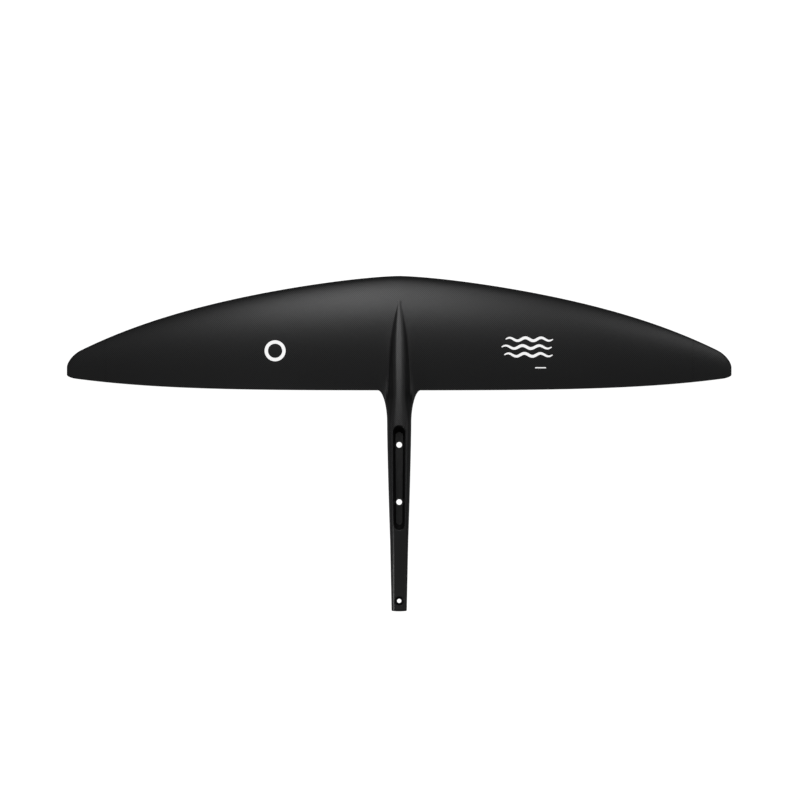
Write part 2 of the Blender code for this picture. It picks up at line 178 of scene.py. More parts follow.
# View and surroundings
LENS = 600
SENSOR = 36
VIEW_WIDTH = 1.1803
VIEW_CENTRE = (0.0012, 0.1084)
FLOOR_HALF = 30
ROOM_GREY = 0.188


def smooth(value):
    """0 to 1 in a soft step."""
    t = min(max(value, 0.0), 1.0)
    return t * t * (3 - 2 * t)


# ---- Surface ----


def corner(share, start):
    """0 up to start, then 1 - a quarter circle."""
    s = min(max((share - start) / (1 - start), 0.0), 1.0)
    return 1 - math.sqrt(1 - s * s)


def leading_edge(x):
    """y of the wing's front edge."""
    u = abs(x) / HALF_SPAN
    sweep = 0.1021 * u**1.5 - 0.0232 * u**2.5 + 0.0413 * u**4
    return NOSE_Y - sweep - TIP_LEADING_ROUND * corner(u, 0.957)


def trailing_edge(x):
    """y of the wing's rear edge, without the flares."""
    u = abs(x) / HALF_SPAN
    return ROOT_TRAILING_Y + 0.0027 * u**2 + 0.0163 * u**4 + TIP_TRAILING_ROUND * corner(u, 0.972)


def rear_edge(x):
    """y where the surface ends behind the wing: the trailing edge, or the flare into the fuselage."""
    if abs(x) >= FLARE_HALF:
        return trailing_edge(x)
    inner = 1 - max(abs(x) - SHOULDER_HALF, 0) / (FLARE_HALF - SHOULDER_HALF)
    share = (1 - inner**FLARE_POWER) ** (1 / FLARE_POWER)
    return SHOULDER_Y + (ROOT_TRAILING_Y - SHOULDER_Y) * share


def half_width(y):
    """Half the width of the fuselage and its flare."""
    if y < WAIST_Y:
        return WAIST_HALF + (TAIL_HALF - WAIST_HALF) * (WAIST_Y - y) / (WAIST_Y - TAIL_Y)
    if y < SHOULDER_Y:
        share = (SHOULDER_Y - y) / (SHOULDER_Y - WAIST_Y)
        return SHOULDER_HALF - (SHOULDER_HALF - WAIST_HALF) * share**1.35
    share = min((y - SHOULDER_Y) / (ROOT_TRAILING_Y - SHOULDER_Y), 1)
    inner = (1 - share**FLARE_POWER) ** (1 / FLARE_POWER)
    return FLARE_HALF - (FLARE_HALF - SHOULDER_HALF) * inner


def across(c, f):
    """x of lattice column c: 0 to 1 over the core, to 2 over the flare, to 3 at the tip."""
    size = abs(c)
    core = SHOULDER_HALF * (0.2 + 0.8 * f)
    if size <= 1:
        x = size * core
    elif size <= 2:
        turn = math.cos(math.radians(90 * (size - 1)))
        x = core + (FLARE_HALF - core) * (1 - turn ** (2 / FLARE_POWER))
    else:
        x = FLARE_HALF + (HALF_SPAN - FLARE_HALF) * (size - 2)
    return math.copysign(x, c)


def boxiness(y):
    """0 on the wing, 1 on the fuselage."""
    return smooth((ROOT_TRAILING_Y - y) / (ROOT_TRAILING_Y - SHOULDER_Y))


def section(x, f):
    """y, middle height and half thickness of the bare wing at share f of the chord."""
    u = abs(x) / HALF_SPAN
    chord = leading_edge(x) - trailing_edge(x)
    stretch = (leading_edge(x) - rear_edge(x)) / chord
    y = leading_edge(x) - chord * (f + (stretch - 1) * f**4)
    out = max(abs(x) - FLARE_HALF, 0) / (HALF_SPAN - FLARE_HALF)
    middle = WING_Z - TIP_DROOP * out**DROOP_POWER + 4 * CAMBER * chord * f * (1 - f)
    share = ROOT_THICKNESS + (TIP_THICKNESS - ROOT_THICKNESS) * u * u
    shape = 0.2969 * math.sqrt(f) - 0.1260 * f - 0.3516 * f**2 + 0.2843 * f**3 - 0.1036 * f**4
    closing = 1 - corner(u, 0.985)
    edge = EDGE_HALF + (PARTING - EDGE_HALF) * boxiness(y)
    return y, middle, math.hypot(5 * share * chord * shape * closing, edge)


def centre_heights(side):
    """The bare wing's y and height along the centreline."""
    points = []
    for f in np.linspace(1, 0, 201):
        y, middle, half = section(0, f)
        points.append((y, middle + side * half))
    return np.array(points).T


CENTRE = {side: centre_heights(side) for side in (1, -1)}


def bare_centre(y, side):
    return float(np.interp(y, *CENTRE[side]))


def spine_line(y, side):
    """Height of the spine and roof (side 1), or of the keel (side -1), along the centreline."""
    line = SPINE if side > 0 else KEEL
    level_z = ROOF_Z if side > 0 else KEEL_Z
    tail_z = TAIL_ROOF_Z if side > 0 else SEAT_Z
    if y > line["level"]:
        share = (y - line["level"]) / (line["start"] - line["level"])
        return level_z + (bare_centre(line["start"], side) - level_z) * share**2
    first, last = line["step"]
    return level_z + (tail_z - level_z) * smooth((first - y) / (first - last))


def crown(q, y):
    """Height across the spine: 1 at the centre, 0 from q = 1. A bell on the wing, a rounded box aft."""
    q = min(abs(q), 1.0)
    bell = (1 - q**BELL_ROUND) ** BELL_POWER
    flatness = 1 + (BOX_FLATNESS - 1) * smooth((SHOULDER_Y - y) / SHOULDER_Y)
    box = min(1.0, flatness * (1 - q**BOX_POWER) ** (1 / BOX_POWER))
    return bell + (box - bell) * boxiness(y)


def spread(y, side):
    """Half the width of the spine or keel, never wider than a flare, so that the two skins meet there."""
    line = SPINE if side > 0 else KEEL
    share = min((line["start"] - y) / (line["start"] - ROOT_TRAILING_Y), 1)
    narrow = min(line["spread"] * (1 - (1 - share) ** SPREAD_POWER), half_width(y))
    return narrow + (half_width(y) - narrow) * boxiness(y)


def spine_rise(x, y, side):
    """How far the spine or keel stands out of the bare wing."""
    line = SPINE if side > 0 else KEEL
    if y >= line["start"]:
        return 0.0
    rise = max(side * (spine_line(y, side) - bare_centre(y, side)), 0)
    return rise * crown(x / spread(y, side), y) + nose_step(x, y) * (side > 0)


def nose_step(x, y):
    """The spine's small blunt nose."""
    behind = SPINE["start"] - y
    q = min(abs(x) / (NOSE_HALF * min(behind / NOSE_LENGTH, 1) ** 0.5), 1)
    fade = smooth((y - NOSE_FADE_Y) / (SPINE["start"] - NOSE_FADE_Y - NOSE_LENGTH))
    return NOSE_STEP * (1 - q**BELL_ROUND) ** BELL_POWER * smooth(behind / NOSE_LENGTH) * fade


def wing_point(x, f, side, inset=0.0, least=PARTING):
    """A point of the upper (side 1) or lower (side -1) surface, or of a layer that far inside it."""
    y, middle, half = section(x, f)
    square = boxiness(y)
    depth = inset * (1 + (crown(x / half_width(y), y) - 1) * square)
    height = max(half + spine_rise(x, y, side) - depth, least)
    return x * (1 - square * inset / half_width(y)), y, middle + side * height


def fuselage_point(q, y, side, inset):
    """The same for the fuselage, with q from -1 to 1 across it. The layers close in at its rear end."""
    end = max(0.0, (TAIL_ROUND_Y - y) / (TAIL_ROUND_Y - TAIL_Y))
    forward = TAIL_CORNER * corner(abs(q), 0.88) + TAIL_BOW * q * q + inset
    height = side * (spine_line(y, side) - WING_Z) - inset - PARTING
    z = WING_Z + side * (PARTING + height * crown(q, y) * math.sqrt(1 - min(end, 1.0) ** 2))
    return q * (half_width(y) - inset), y + forward * end, z


# ---- Lattice ----


def both_ways(columns):
    """Columns from 0 up, mirrored to the left as well."""
    return [-c for c in columns[:0:-1]] + list(columns)


def seam_column(offset):
    """The column that far outboard of the tip seam."""
    return 2 + (SEAM_X + offset - FLARE_HALF) / (HALF_SPAN - FLARE_HALF)


BOX_STEPS, FLARE_STEPS, PANEL_STEPS, CHORD_STEPS = 16, 14, 72, 72
BOX_COLUMNS = [math.sin(math.pi / 2 * i / BOX_STEPS) for i in range(BOX_STEPS + 1)]
FLARE_COLUMNS = [1 + i / FLARE_STEPS for i in range(1, FLARE_STEPS + 1)]
PANEL_END = seam_column(-SEAM_GAP / 2)
PANEL_COLUMNS = [2 + (PANEL_END - 2) * i / PANEL_STEPS for i in range(1, PANEL_STEPS + 1)]
WING_COLUMNS = both_ways(BOX_COLUMNS + FLARE_COLUMNS + PANEL_COLUMNS)
# Rows crowd at both edges, and again where the spine's nose rises.
EVEN_ROWS = [(1 - math.cos(math.pi * i / CHORD_STEPS)) / 2 for i in range(CHORD_STEPS + 1)]
CHORD_ROWS = sorted(EVEN_ROWS + [0.2035 + 0.0045 * i for i in range(9)])


def wing_sheet(columns, side, inset):
    return [[wing_point(across(c, f), f, side, inset) for c in columns] for f in CHORD_ROWS]


def steps(first, last, count):
    return [first + (last - first) * i / count for i in range(count + 1)]


def plain_sheets(rows, side):
    """The fuselage's outer and inner sheet along rows."""
    columns = both_ways(BOX_COLUMNS)
    return [[[fuselage_point(q, y, side, inset) for q in columns] for y in rows] for inset in (0, SKIN)]


def on_edge(x, y, ends):
    """The point of a slot's outline nearest to (x, y). Each end is (y of the end, radius)."""
    (front_y, front_r), (rear_y, rear_r) = ends
    front, rear = front_y - front_r, rear_y + rear_r
    t = min(max((y - rear) / (front - rear), 0), 1) if front - rear > 1e-6 else 0.5
    centre, radius = rear + t * (front - rear), rear_r + t * (front_r - rear_r)
    away = math.hypot(x, y - centre)
    return x / away * radius, centre + (y - centre) / away * radius


def hole_edge(x, y, side, inset, outline):
    """The nearest point of a hole's edge in a layer of the fuselage. outline gives its ends at a z."""
    edge = on_edge(x, y, outline(ROOF_Z))
    for _ in range(3):
        z = fuselage_point(edge[0] / (half_width(edge[1]) - inset), edge[1], side, inset)[2]
        edge = on_edge(x, y, outline(z))
    return edge


def holed_sheets(rows, side, outline, rounding):
    """Sheets of the fuselage between rows, round a hole with a rounded edge."""
    turns = [math.pi / 2 * i / EDGE_RINGS for i in range(EDGE_RINGS + 1)]
    columns = both_ways(BOX_COLUMNS)
    loop = [(q, rows[0]) for q in columns] + [(1, y) for y in rows[1:-1]]
    loop += [(q, rows[-1]) for q in columns[::-1]] + [(-1, y) for y in rows[-2:0:-1]]
    loop.append(loop[0])
    shares = []
    for q, y in loop:
        x = q * half_width(y)
        reach = math.dist((x, y), hole_edge(x, y, side, 0, outline))
        near = [rounding * (1 - math.cos(turn)) / reach for turn in turns]
        outward = [1 - (1 - i / HOLE_RINGS) ** 2 for i in range(1, HOLE_RINGS + 1)]
        shares.append(near + [near[-1] + (1 - near[-1]) * share for share in outward])
    drops = [rounding * (1 - math.sin(turn)) for turn in turns] + [0] * HOLE_RINGS
    sheets = []
    for inset in (0, SKIN):
        sheet = []
        for ring, drop in enumerate(drops):
            line = []
            for (q, y), share in zip(loop, shares):
                if share[ring] > 1 - 1e-9:
                    line.append(fuselage_point(q, y, side, inset))
                    continue
                x = q * (half_width(y) - inset)
                edge = hole_edge(x, y, side, inset, outline)
                at = [e + (o - e) * share[ring] for e, o in zip(edge, (x, y))]
                point = fuselage_point(at[0] / (half_width(at[1]) - inset), at[1], side, inset)
                line.append((point[0], point[1], point[2] - side * drop * (inset == 0)))
            sheet.append(line)
        sheets.append(sheet)
    return sheets


# ---- Making pieces ----


SHARP_ANGLE = 32
TURNED_STEPS = 96


def add(name, mesh, finish):
    made = bpy.data.objects.new(name, mesh)
    bpy.context.scene.collection.objects.link(made)
    mesh.materials.append(finish)
    mesh.shade_smooth()
    mesh.set_sharp_from_angle(angle=math.radians(SHARP_ANGLE))
    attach(made, "root")
    return made


def mesh_from(bm, name):
    bmesh.ops.recalc_face_normals(bm, faces=bm.faces)
    mesh = bpy.data.meshes.new(name)
    bm.to_mesh(mesh)
    bm.free()
    return mesh


def slab(name, patches, finish):
    """A closed solid between top and bottom sheets. Patches join where their top sheets share points."""
    bm = bmesh.new()
    posts = {}
    rim = {}

    def post(high, low):
        key = tuple(round(v, 6) for v in high)
        if key not in posts:
            posts[key] = (bm.verts.new(high), bm.verts.new(low))
        return posts[key]

    for top, bottom in patches:
        grid = [[post(*pair) for pair in zip(*rows)] for rows in zip(top, bottom)]
        for fore, aft in zip(grid, grid[1:]):
            for cell in zip(fore, fore[1:], aft[1:], aft):
                bm.faces.new([high for high, low in cell])
                bm.faces.new([low for high, low in reversed(cell)])
                for edge in zip(cell, cell[1:] + cell[:1]):
                    key = frozenset(edge)
                    if rim.pop(key, None) is None:
                        rim[key] = edge
    for (high_a, low_a), (high_b, low_b) in rim.values():
        bm.faces.new((high_b, high_a, low_a, low_b))
    return add(name, mesh_from(bm, name), finish)


def turned(name, profile, y, finish):
    """A ring turned about a vertical axis at (0, y) from a closed profile of (radius, z) points."""
    bm = bmesh.new()
    rings = []
    for i in range(TURNED_STEPS):
        a = 2 * math.pi * i / TURNED_STEPS
        rings.append([bm.verts.new((r * math.cos(a), y + r * math.sin(a), z)) for r, z in profile])
    for i, ring in enumerate(rings):
        last = rings[i - 1]
        for j in range(len(profile)):
            bm.faces.new((ring[j - 1], ring[j], last[j], last[j - 1]))
    return add(name, mesh_from(bm, name), finish)


# ---- Finishes ----


class Nodes:
    """A material's node tree, with short calls for the nodes used here."""

    def __init__(self, name):
        self.material = bpy.data.materials.new(name)
        self.material.use_nodes = True
        self.tree = self.material.node_tree
        self.shader = self.tree.nodes["Principled BSDF"]

    def set(self, **values):
        for key, value in values.items():
            self.shader.inputs[key.replace("_", " ")].default_value = value

    def put(self, socket, value):
        if isinstance(value, bpy.types.NodeSocket):
            self.tree.links.new(value, socket)
        else:
            socket.default_value = value

    def node(self, kind, **settings):
        made = self.tree.nodes.new("ShaderNode" + kind)
        for key, value in settings.items():
            setattr(made, key, value)
        return made

    def math(self, operation, *values):
        made = self.node("Math", operation=operation)
        for socket, value in zip(made.inputs, values):
            self.put(socket, value)
        return made.outputs[0]

    def place(self, scale):
        """Object coordinates, scaled."""
        mapping = self.node("Mapping")
        mapping.inputs["Scale"].default_value = scale
        self.put(mapping.inputs["Vector"], self.node("TexCoord").outputs["Object"])
        return mapping.outputs[0]

    def noise(self, scale, detail=3, roughness=0.5, stretch=(1, 1, 1)):
        made = self.node("TexNoise")
        self.put(made.inputs["Vector"], self.place(stretch))
        made.inputs["Scale"].default_value = scale
        made.inputs["Detail"].default_value = detail
        made.inputs["Roughness"].default_value = roughness
        return made.outputs["Fac"]

    def span(self, value, low, high):
        """A value from 0 to 1, spread from low to high."""
        made = self.node("MapRange")
        made.inputs["To Min"].default_value = low
        made.inputs["To Max"].default_value = high
        self.put(made.inputs["Value"], value)
        return made.outputs["Result"]

    def mix(self, share, first, last):
        made = self.node("Mix", data_type="RGBA")
        self.put(made.inputs["Factor"], share)
        for key, value in (("A", first), ("B", last)):
            socket = [s for s in made.inputs if s.name == key and s.type == "RGBA"][0]
            self.put(socket, value if isinstance(value, bpy.types.NodeSocket) else (*value, 1))
        return [s for s in made.outputs if s.type == "RGBA"][0]

    def bump(self, height, strength, distance):
        made = self.node("Bump")
        made.inputs["Strength"].default_value = strength
        made.inputs["Distance"].default_value = distance
        self.put(made.inputs["Height"], height)
        self.put(self.shader.inputs["Normal"], made.outputs[0])

    def finish(self, colour, roughness):
        self.put(self.shader.inputs["Base Color"], colour)
        self.put(self.shader.inputs["Roughness"], roughness)
        return self.material


TOW = 0.00152
TOWS_PER_METRE = (1 / TOW, 1 / TOW, 1 / TOW)


def weave(nodes, one, two):
    """(checker, height) of a plain weave whose tows run along one and two, both in tow widths."""
    cells = [nodes.math("FLOOR", v) for v in (one, two)]
    checker = nodes.math("PINGPONG", nodes.math("ADD", *cells), 1)
    swells = [nodes.math("SINE", nodes.math("MULTIPLY", v, math.pi)) for v in (one, two)]
    humps = [nodes.math("ABSOLUTE", swell) for swell in swells]
    return checker, nodes.math("MULTIPLY", *humps)


def carbon_skin():
    """Satin plain-weave carbon. The weave lies flat on the wing and upright on the fuselage's sides."""
    nodes = Nodes("carbon_skin")
    split = nodes.node("SeparateXYZ")
    nodes.put(split.inputs[0], nodes.place(TOWS_PER_METRE))
    x, y, z = split.outputs
    normal = nodes.node("SeparateXYZ")
    nodes.put(normal.inputs[0], nodes.node("TexCoord").outputs["Normal"])
    upright = nodes.math("GREATER_THAN", nodes.math("ABSOLUTE", normal.outputs[0]), 0.75)
    one = nodes.math("ADD", x, nodes.math("MULTIPLY", upright, nodes.math("SUBTRACT", z, x)))
    checker, height = weave(nodes, one, y)
    cloud = nodes.noise(9, 4)
    fine = nodes.noise(900, 2)
    base = nodes.mix(checker, (0.0032, 0.0033, 0.0036), (0.0060, 0.0061, 0.0064))
    colour = nodes.mix(nodes.span(cloud, 0, 0.35), base, (0.0075, 0.0076, 0.0080))
    rough = nodes.math("ADD", nodes.span(checker, 0.345, 0.365), nodes.span(cloud, -0.015, 0.015))
    rough = nodes.math("ADD", rough, nodes.span(fine, -0.01, 0.01))
    nodes.bump(nodes.math("ADD", height, nodes.math("MULTIPLY", fine, 0.3)), 0.25, 0.00004)
    nodes.set(IOR=1.56)
    nodes.put(nodes.shader.inputs["Specular Tint"], nodes.mix(checker, (0.66, 0.66, 0.67), (1, 1, 1)))
    return nodes.finish(colour, rough)


def carbon_moulding():
    """Matt moulding compound of chopped flakes."""
    nodes = Nodes("carbon_moulding")
    flakes = nodes.node("TexVoronoi")
    nodes.put(flakes.inputs["Vector"], nodes.place((260, 70, 200)))
    flakes.inputs["Scale"].default_value = 1
    shade = nodes.node("SeparateColor")
    nodes.put(shade.inputs[0], flakes.outputs["Color"])
    fine = nodes.noise(1200, 2)
    colour = nodes.mix(shade.outputs[0], (0.0030, 0.0031, 0.0033), (0.0070, 0.0071, 0.0074))
    rough = nodes.math("ADD", nodes.span(shade.outputs[1], 0.44, 0.54), nodes.span(fine, -0.03, 0.03))
    nodes.bump(nodes.math("ADD", fine, nodes.math("MULTIPLY", shade.outputs[2], 0.4)), 0.3, 0.00005)
    nodes.set(Specular_IOR_Level=0.38)
    return nodes.finish(colour, rough)


def unidirectional_carbon():
    nodes = Nodes("unidirectional_carbon")
    tows = nodes.noise(1, 4, 0.6, (14, 1600, 1600))
    colour = nodes.mix(tows, (0.006, 0.006, 0.007), (0.035, 0.035, 0.038))
    nodes.bump(tows, 0.5, 0.00008)
    return nodes.finish(colour, nodes.span(tows, 0.28, 0.45))


def glass_laminate():
    nodes = Nodes("glass_laminate")
    split = nodes.node("SeparateXYZ")
    nodes.put(split.inputs[0], nodes.place((900, 900, 900)))
    x, y, z = split.outputs
    checker, height = weave(nodes, nodes.math("ADD", x, y), z)
    cloud = nodes.noise(60, 3)
    base = nodes.mix(checker, (0.10, 0.13, 0.06), (0.17, 0.21, 0.11))
    colour = nodes.mix(nodes.span(cloud, 0, 0.5), base, (0.22, 0.24, 0.14))
    nodes.bump(height, 0.4, 0.00006)
    return nodes.finish(colour, nodes.span(cloud, 0.35, 0.55))


def foam_core():
    nodes = Nodes("foam_core")
    cells = nodes.node("TexVoronoi")
    nodes.put(cells.inputs["Vector"], nodes.place((1800, 1800, 1800)))
    cells.inputs["Scale"].default_value = 1
    cloud = nodes.noise(40, 3)
    base = nodes.mix(cells.outputs["Distance"], (0.66, 0.59, 0.40), (0.46, 0.39, 0.24))
    colour = nodes.mix(nodes.span(cloud, 0, 0.4), base, (0.60, 0.50, 0.30))
    nodes.bump(cells.outputs["Distance"], 0.8, 0.0002)
    return nodes.finish(colour, nodes.span(cells.outputs["Distance"], 0.75, 0.95))


def stainless_steel():
    nodes = Nodes("stainless_steel")
    lines = nodes.noise(1, 3, 0.7, (60, 60, 9000))
    cloud = nodes.noise(300, 3)
    colour = nodes.mix(cloud, (0.46, 0.46, 0.47), (0.62, 0.62, 0.63))
    nodes.bump(lines, 0.25, 0.00003)
    nodes.set(Metallic=1.0)
    rough = nodes.math("ADD", nodes.span(lines, 0.2, 0.32), nodes.span(cloud, -0.04, 0.06))
    return nodes.finish(colour, rough)


def black_anodised():
    nodes = Nodes("black_anodised")
    fine = nodes.noise(2500, 3)
    cloud = nodes.noise(400, 2)
    colour = nodes.mix(cloud, (0.008, 0.008, 0.009), (0.016, 0.016, 0.018))
    nodes.bump(fine, 0.3, 0.00003)
    nodes.set(Metallic=0.6)
    return nodes.finish(colour, nodes.span(fine, 0.36, 0.5))


def white_ink_with_painted_glow():
    """Printed ink, slightly uneven, with the weave just showing through. Its emission is a painted glow
    that makes it brighter than the lamps light it.
    """
    pale, dull = (0.93, 0.93, 0.93), (0.86, 0.86, 0.86)
    nodes = Nodes("white_ink_with_painted_glow")
    speckle = nodes.noise(1500, 3)
    cloud = nodes.noise(30, 3)
    colour = nodes.mix(nodes.span(cloud, 0, 1), pale, dull)
    split = nodes.node("SeparateXYZ")
    nodes.put(split.inputs[0], nodes.place(TOWS_PER_METRE))
    height = weave(nodes, split.outputs[0], split.outputs[1])[1]
    nodes.bump(nodes.math("ADD", height, nodes.math("MULTIPLY", speckle, 0.4)), 0.15, 0.00004)
    # The emission is a painted glow: the ink shines brighter than its white would under the lamps alone.
    nodes.set(Emission_Color=(*pale, 1), Emission_Strength=0.45)
    return nodes.finish(colour, nodes.span(speckle, 0.42, 0.55))


CARBON = carbon_skin()
MOULDING = carbon_moulding()
STEEL = stainless_steel()
ANODISED = black_anodised()
WHITE_INK_WITH_PAINTED_GLOW = white_ink_with_painted_glow()
HIDDEN = {
    "unidirectional_carbon": unidirectional_carbon(),
    "glass_laminate": glass_laminate(),
    "foam_core": foam_core(),
    "carbon_moulding": MOULDING,
    "stainless_steel": STEEL,
}


# ---- Skins ----


def socket_at(z):
    """The ends of the tapered socket's outline at a height."""
    pairs = zip(SOCKET_FLOOR, SOCKET_RIM)
    return tuple(tuple(low + (high - low) * z / ROOF_Z for low, high in zip(*pair)) for pair in pairs)


def circle(y, radius):
    """A round hole's outline, the same at every height."""
    return lambda z: ((y + radius, radius), (y - radius, radius))


def upper_skin():
    front, rear = SOCKET_RIM[0][0] - SOCKET_RIM[0][1], SOCKET_RIM[1][0] + SOCKET_RIM[1][1]
    rows = steps(SHOULDER_Y, front, 10) + steps(front, rear, 34)[1:]
    rows += steps(rear, SOCKET_PATCH_REAR, 10)[1:]
    patches = [[wing_sheet(WING_COLUMNS, 1, inset) for inset in (0, SKIN)]]
    patches.append(holed_sheets(rows, 1, socket_at, RIM_ROUND))
    hole = circle(TAIL_SCREW_Y, BUSH_R + BUSH_CLEARANCE)
    patches.append(plain_sheets(steps(SOCKET_PATCH_REAR, BUSH_PATCH[0], 26), 1))
    patches.append(holed_sheets(steps(*BUSH_PATCH, PATCH_STEPS), 1, hole, HOLE_ROUND))
    patches.append(plain_sheets(tail_rows(BUSH_PATCH[1]), 1))
    return slab("upper_skin", patches, CARBON)


def tail_rows(first):
    """Rows to the rear end, closer where it rounds over."""
    turns = [math.pi / 2 * i / 10 for i in range(1, 11)]
    round_rows = [TAIL_ROUND_Y + (TAIL_Y - TAIL_ROUND_Y) * math.sin(turn) for turn in turns]
    return steps(first, TAIL_ROUND_Y, 3) + round_rows


def lower_skin():
    patches = [[wing_sheet(WING_COLUMNS, -1, inset) for inset in (0, SKIN)]]
    y = SHOULDER_Y
    cup_r = CUP_R + CUP_CLEARANCE
    for centre, radius in ((MAST_SCREW_Y, cup_r), (-MAST_SCREW_Y, cup_r), (TAIL_SCREW_Y, STEM_HOLE_R)):
        margin = radius + HOLE_MARGIN
        count = max(2, round((y - centre - margin) / ROW_STEP))
        patches.append(plain_sheets(steps(y, centre + margin, count), -1))
        rows = steps(centre + margin, centre - margin, PATCH_STEPS)
        patches.append(holed_sheets(rows, -1, circle(centre, radius), HOLE_ROUND))
        y = centre - margin
    patches.append(plain_sheets(tail_rows(y), -1))
    return slab("lower_skin", patches, CARBON)


def tip(name, hand):
    """The solid tip, with a tongue that reaches in under the skins at the seam."""
    first = seam_column(SEAM_GAP / 2)
    tongue_end = seam_column(SEAM_GAP / 2 - TONGUE_REACH)
    outer = [first + (3 - first) * math.sin(math.pi / 2 * i / 30) for i in range(31)]
    columns = [(tongue_end, TONGUE_DEPTH), (first, TONGUE_DEPTH)] + [(c, 0) for c in outer]

    def sheet(side):
        least = {0: PARTING, TONGUE_DEPTH: PARTING / 4}
        rows = []
        for f in CHORD_ROWS:
            rows.append([wing_point(hand * across(c, f), f, side, d, least[d]) for c, d in columns])
        return rows

    return slab(name, [(sheet(1), sheet(-1))], CARBON)


# ---- Mast socket ----


BEND, SIDE = 20, 40
RING = 2 * (BEND + SIDE)


def slot_point(ends, i):
    """Point i of RING round a slot's outline, from the right of its front end."""
    (front_y, front_r), (rear_y, rear_r) = ends
    front, rear = front_y - front_r, rear_y + rear_r
    if i <= BEND:
        a = math.pi * i / BEND
        return front_r * math.cos(a), front + front_r * math.sin(a)
    if i < BEND + SIDE:
        t = (i - BEND) / SIDE
        return -front_r + (front_r - rear_r) * t, front + (rear - front) * t
    if i <= 2 * BEND + SIDE:
        a = math.pi * (1 + (i - BEND - SIDE) / BEND)
        return rear_r * math.cos(a), rear + rear_r * math.sin(a)
    t = (i - 2 * BEND - SIDE) / SIDE
    return rear_r + (front_r - rear_r) * t, rear + (front - rear) * t


def end_share(i):
    """0 along the slot's straight sides, rising to 1 at the middle of each end."""
    turn = i if i <= BEND else i - BEND - SIDE
    return math.sin(math.pi * turn / BEND) ** 2 if 0 <= turn <= BEND else 0.0


def shrink(ends, by):
    """A slot's ends, moved inward by that much all round."""
    return tuple((y - by * math.copysign(1, y), radius - by) for y, radius in ends)


def socket_liner():
    """The socket's wall and floor, one closed piece under the upper skin."""
    bm = bmesh.new()

    def under_skin(x, y):
        inner = half_width(y) - SKIN
        return fuselage_point(max(min(x / inner, 1), -1), y, 1, SKIN)[2] - LINER_GAP

    outer = shrink(SOCKET_RIM, -LINER_WALL)
    outside = [slot_point(outer, i) for i in range(RING)]
    tops = []
    for i in range(RING):
        z = ROOF_Z
        for _ in range(4):
            x, y = slot_point(socket_at(z), i)
            z = under_skin(x, y)
        tops.append(z)
    rings = [[(x, y, SOCKET_BASE_Z) for x, y in outside], [(x, y, under_skin(x, y)) for x, y in outside]]
    fillets = [FLOOR_FILLET + (END_FILLET - FLOOR_FILLET) * end_share(i) for i in range(RING)]
    for share in (1, 0.94, 0.85, 0.7, 0.55, 0.4, 0.25, 0.14, 0.06):
        heights = [low + (top - low) * share for low, top in zip(fillets, tops)]
        rings.append([(*slot_point(socket_at(z), i), z) for i, z in enumerate(heights)])
    for turn in range(9):
        a = math.pi / 2 * turn / 8
        ring = []
        for i, radius in enumerate(fillets):
            z = radius * (1 - math.sin(a))
            ring.append((*slot_point(shrink(socket_at(z), radius * (1 - math.cos(a))), i), z))
        rings.append(ring)
    insides = [shrink(SOCKET_FLOOR, radius + HOLD) for radius in fillets]
    rings.append([(*slot_point(ends, i), 0) for i, ends in enumerate(insides)])
    verts = [[bm.verts.new(p) for p in ring] for ring in rings]
    for near, far in zip(verts, verts[1:]):
        for i in range(len(near)):
            bm.faces.new((near[i - 1], near[i], far[i], far[i - 1]))

    bores = []
    profile = [(MAST_HOLE_R + BORE_SOFT + HOLD, 0)]
    for i in range(5):
        a = math.pi / 2 * i / 4
        profile.append((MAST_HOLE_R + BORE_SOFT * (1 - math.sin(a)), -BORE_SOFT * (1 - math.cos(a))))
    profile.append((MAST_HOLE_R, SOCKET_BASE_Z))
    angles = [2 * math.pi * i / BORE_STEPS for i in range(BORE_STEPS)]
    for y in (MAST_SCREW_Y, -MAST_SCREW_Y):
        bore = []
        for r, z in profile:
            bore.append([bm.verts.new((r * math.sin(a), y + r * math.cos(a), z)) for a in angles])
        for near, far in zip(bore, bore[1:]):
            for i in range(BORE_STEPS):
                bm.faces.new((near[i - 1], near[i], far[i], far[i - 1]))
        bores.append(bore)

    # Each level face is split down the middle into two that go round the bores.
    for ring, at in ((verts[-1], 0), (verts[0], -1)):
        front = max(range(len(ring)), key=lambda i: ring[i].co.y)
        rear = min(range(len(ring)), key=lambda i: ring[i].co.y)
        turned_ring = ring[front:] + ring[:front]
        cut = (rear - front) % len(ring)
        left, right = turned_ring[: cut + 1], turned_ring[cut:] + turned_ring[:1]
        half = BORE_STEPS // 2
        rear_bore, front_bore = bores[1][at], bores[0][at]
        go_left = [rear_bore[half]] + rear_bore[half + 1:] + rear_bore[:1]
        go_left += [front_bore[half]] + front_bore[half + 1:] + front_bore[:1]
        bm.faces.new(left + go_left)
        go_right = front_bore[: half + 1] + rear_bore[: half + 1]
        bm.faces.new(right + go_right)
    return add("socket_liner", mesh_from(bm, "socket_liner"), MOULDING)


def cup(name, y):
    """A countersunk steel cup for a mast screw, open downward."""
    bottom, top = CUP_BOX[0].z, CUP_BOX[1].z
    head = CUP_R - 0.0006
    profile = (
        (CUP_R, top - 0.0001),
        (CUP_R, bottom + 0.0002),
        (CUP_R - 0.00006, bottom + 0.00006),
        (CUP_R - 0.0002, bottom),
        (head + 0.0001, bottom),
        (head - 0.00005, bottom + 0.00008),
        (MAST_HOLE_R + 0.0001, top - 0.0013),
        (MAST_HOLE_R, top - 0.0012),
        (MAST_HOLE_R, top - 0.0001),
        (MAST_HOLE_R + 0.0001, top),
        (CUP_R - 0.0001, top),
    )
    return turned(name, profile, y, STEEL)


